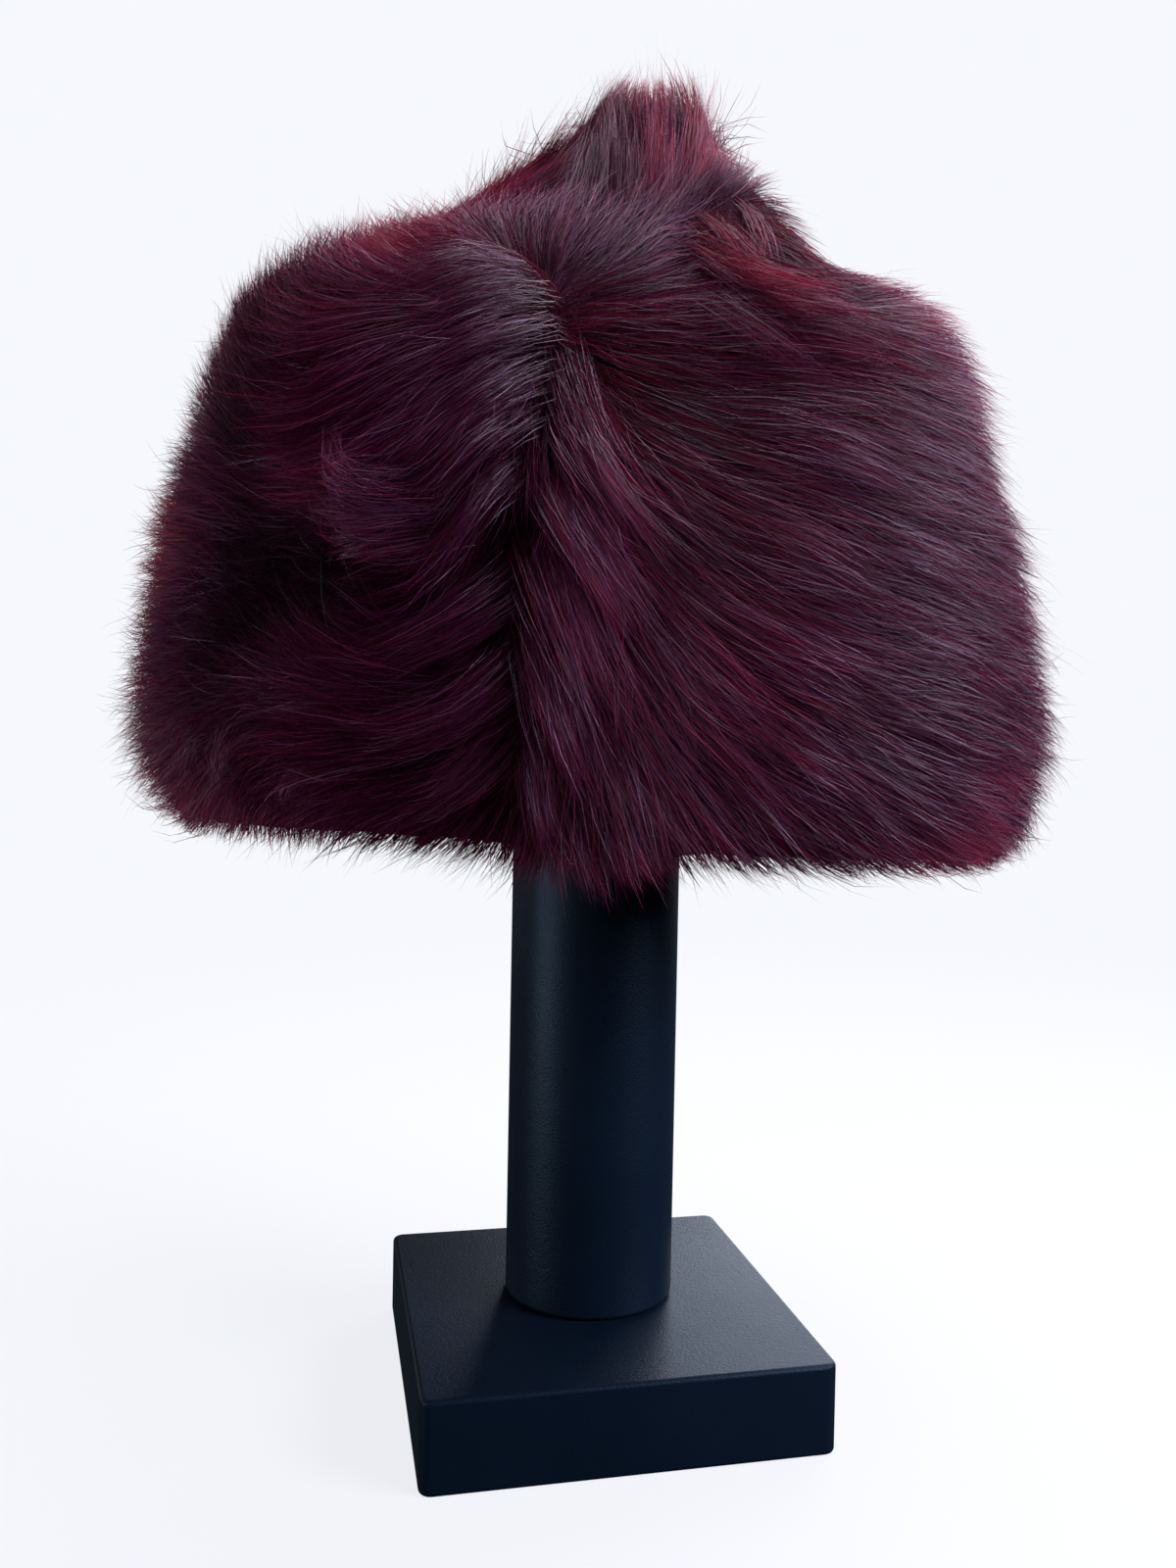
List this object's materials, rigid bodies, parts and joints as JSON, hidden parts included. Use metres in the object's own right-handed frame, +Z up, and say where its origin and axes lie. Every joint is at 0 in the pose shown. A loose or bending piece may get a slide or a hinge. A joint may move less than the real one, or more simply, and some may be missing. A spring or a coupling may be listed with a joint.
{
  "type": "faux fur hat on a display stand",
  "caption": "Soft long-pile faux fur hat with a side band and a crown, draped over a plain black stand with a square base and a round column.",
  "frame": {"origin": "middle of the underside of the stand's square base", "axes": "+Z up along the column, -Y out of the base's front face, +X to its right"},
  "size_m": [0.2389, 0.242, 0.3478],
  "materials": {
    "stand_black": "satin black",
    "cloth_backing": "dark knitted backing",
    "fur_pile": "long glossy burgundy pile"
  },
  "bodies": {
    "root": {"stand_base": "stand_black", "stand_column": "stand_black", "side_band": "cloth_backing", "crown": "cloth_backing", "side_band_fur": "fur_pile", "crown_fur": "fur_pile"}
  },
  "joints": []
}
